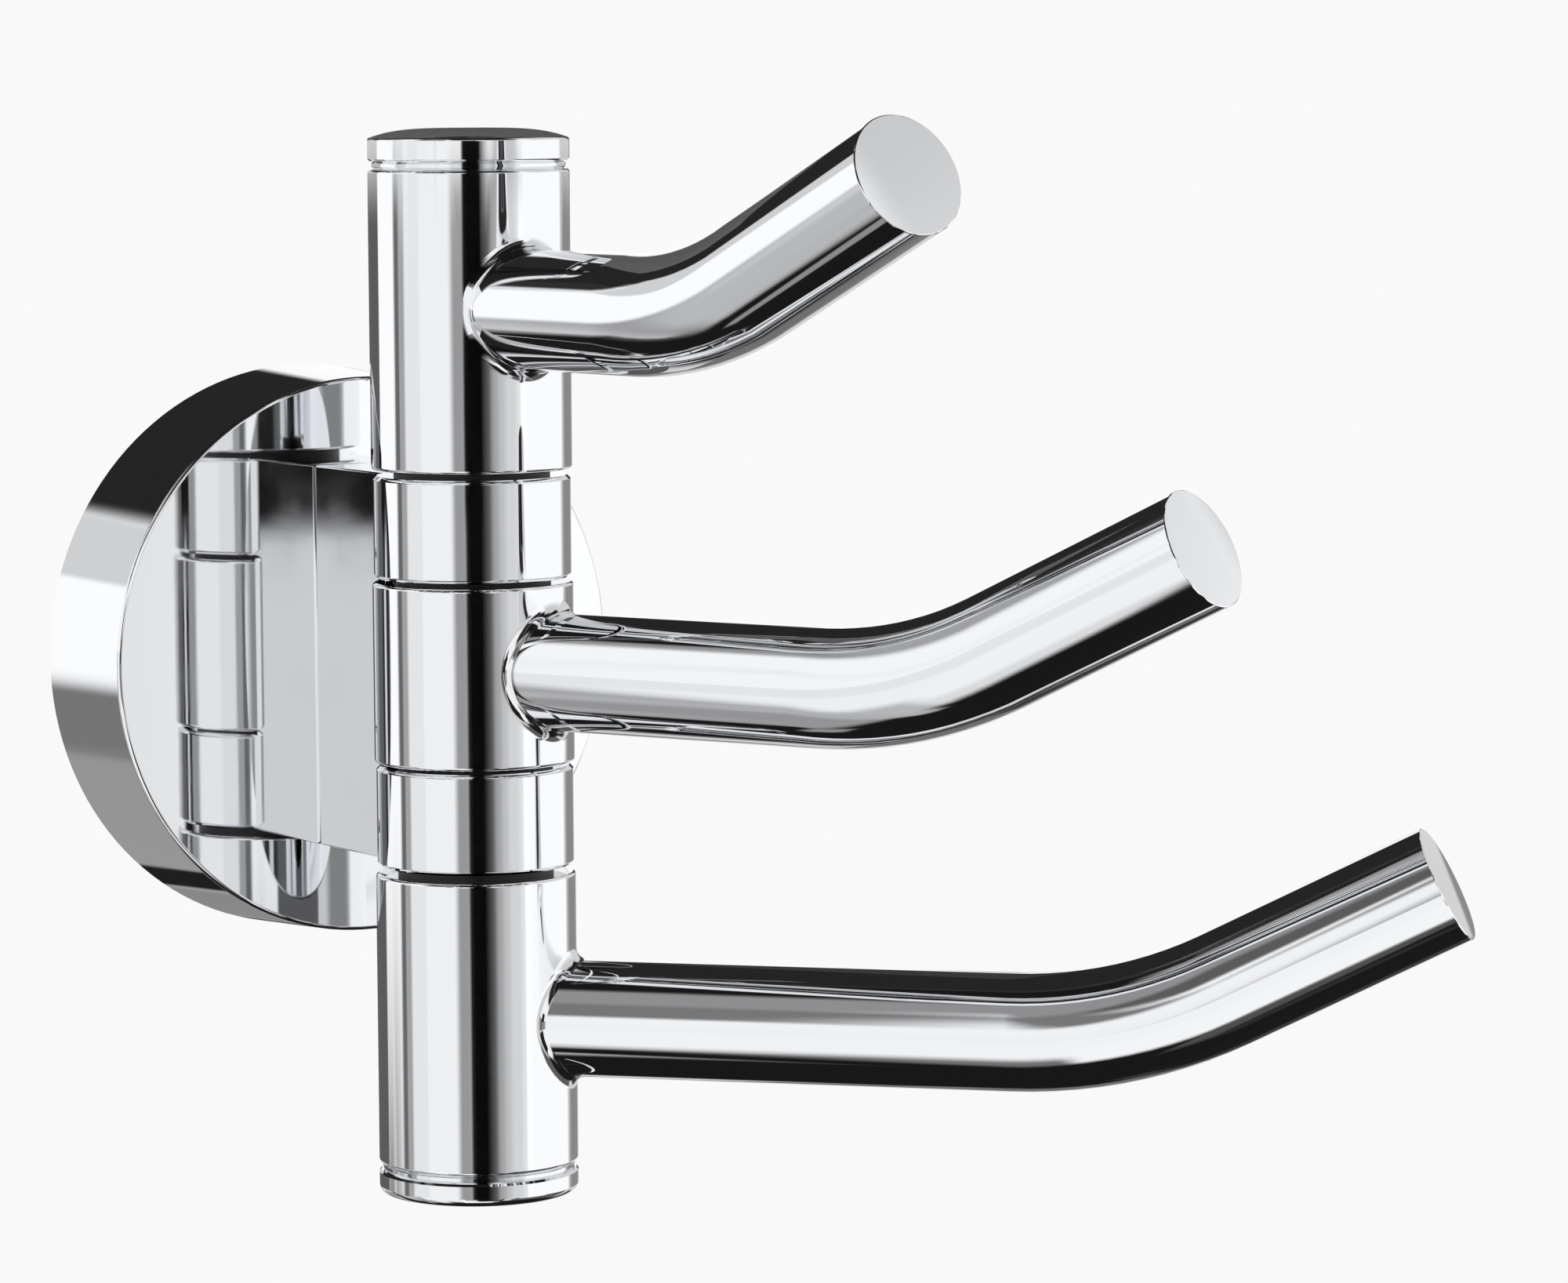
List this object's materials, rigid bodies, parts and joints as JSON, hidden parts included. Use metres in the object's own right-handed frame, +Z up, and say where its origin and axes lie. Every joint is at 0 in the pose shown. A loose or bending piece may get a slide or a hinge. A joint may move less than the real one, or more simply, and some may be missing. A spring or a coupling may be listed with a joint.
{
  "type": "swivel triple hook",
  "caption": "Wall-mounted bathroom hook with a round rosette and stacked bent arms that swing separately about one upright rod",
  "frame": {"origin": "centre of the rosette's wall face, on the wall plane", "axes": "+X right and +Y into the wall, +Z up; the room is towards -Y"},
  "size_m": [0.0912, 0.1024, 0.097],
  "materials": {
    "chrome": "polished chrome plate on cast zinc",
    "chrome_hook": "polished chrome plate on brass",
    "chrome_cap": "polished chrome plate, turned",
    "zinc": "bare die-cast zinc",
    "steel": "bright zinc-plated steel",
    "spring": "blued spring steel",
    "nylon": "moulded dark nylon"
  },
  "bodies": {
    "wall_side": {"rosette": "chrome", "wall_plate": "zinc", "rosette_lock_screw": "steel", "hinge_bracket": "chrome", "bracket_screw_upper": "steel", "bracket_screw_lower": "steel", "pivot_rod": "steel", "upper_nut": "steel", "upper_disc_spring": "spring", "upper_washer": "steel", "lower_nut": "steel", "lower_disc_spring": "spring", "lower_washer": "steel"},
    "upper_swivel": {"upper_hook": "chrome_hook", "upper_cap": "chrome_cap", "upper_groove_ring": "chrome_cap", "upper_sleeve_lower_bush": "nylon", "upper_sleeve_upper_bush": "nylon"},
    "middle_swivel": {"middle_hook": "chrome_hook", "middle_sleeve_lower_bush": "nylon", "middle_sleeve_upper_bush": "nylon"},
    "lower_swivel": {"lower_hook": "chrome_hook", "lower_cap": "chrome_cap", "lower_groove_ring": "chrome_cap", "lower_sleeve_lower_bush": "nylon", "lower_sleeve_upper_bush": "nylon"}
  },
  "joints": [
    {"name": "upper_swing", "type": "hinge", "parent": "wall_side", "child": "upper_swivel", "pos_m": [0, -0.032, 0.0327], "axis": [0, 0, 1], "range_deg": [-94.8, 85.2]},
    {"name": "middle_swing", "type": "hinge", "parent": "wall_side", "child": "middle_swivel", "pos_m": [0, -0.032, 0.0005], "axis": [0, 0, 1], "range_deg": [-114.5, 65.5]},
    {"name": "lower_swing", "type": "hinge", "parent": "wall_side", "child": "lower_swivel", "pos_m": [0, -0.032, -0.0311], "axis": [0, 0, 1], "range_deg": [-134, 46]}
  ]
}
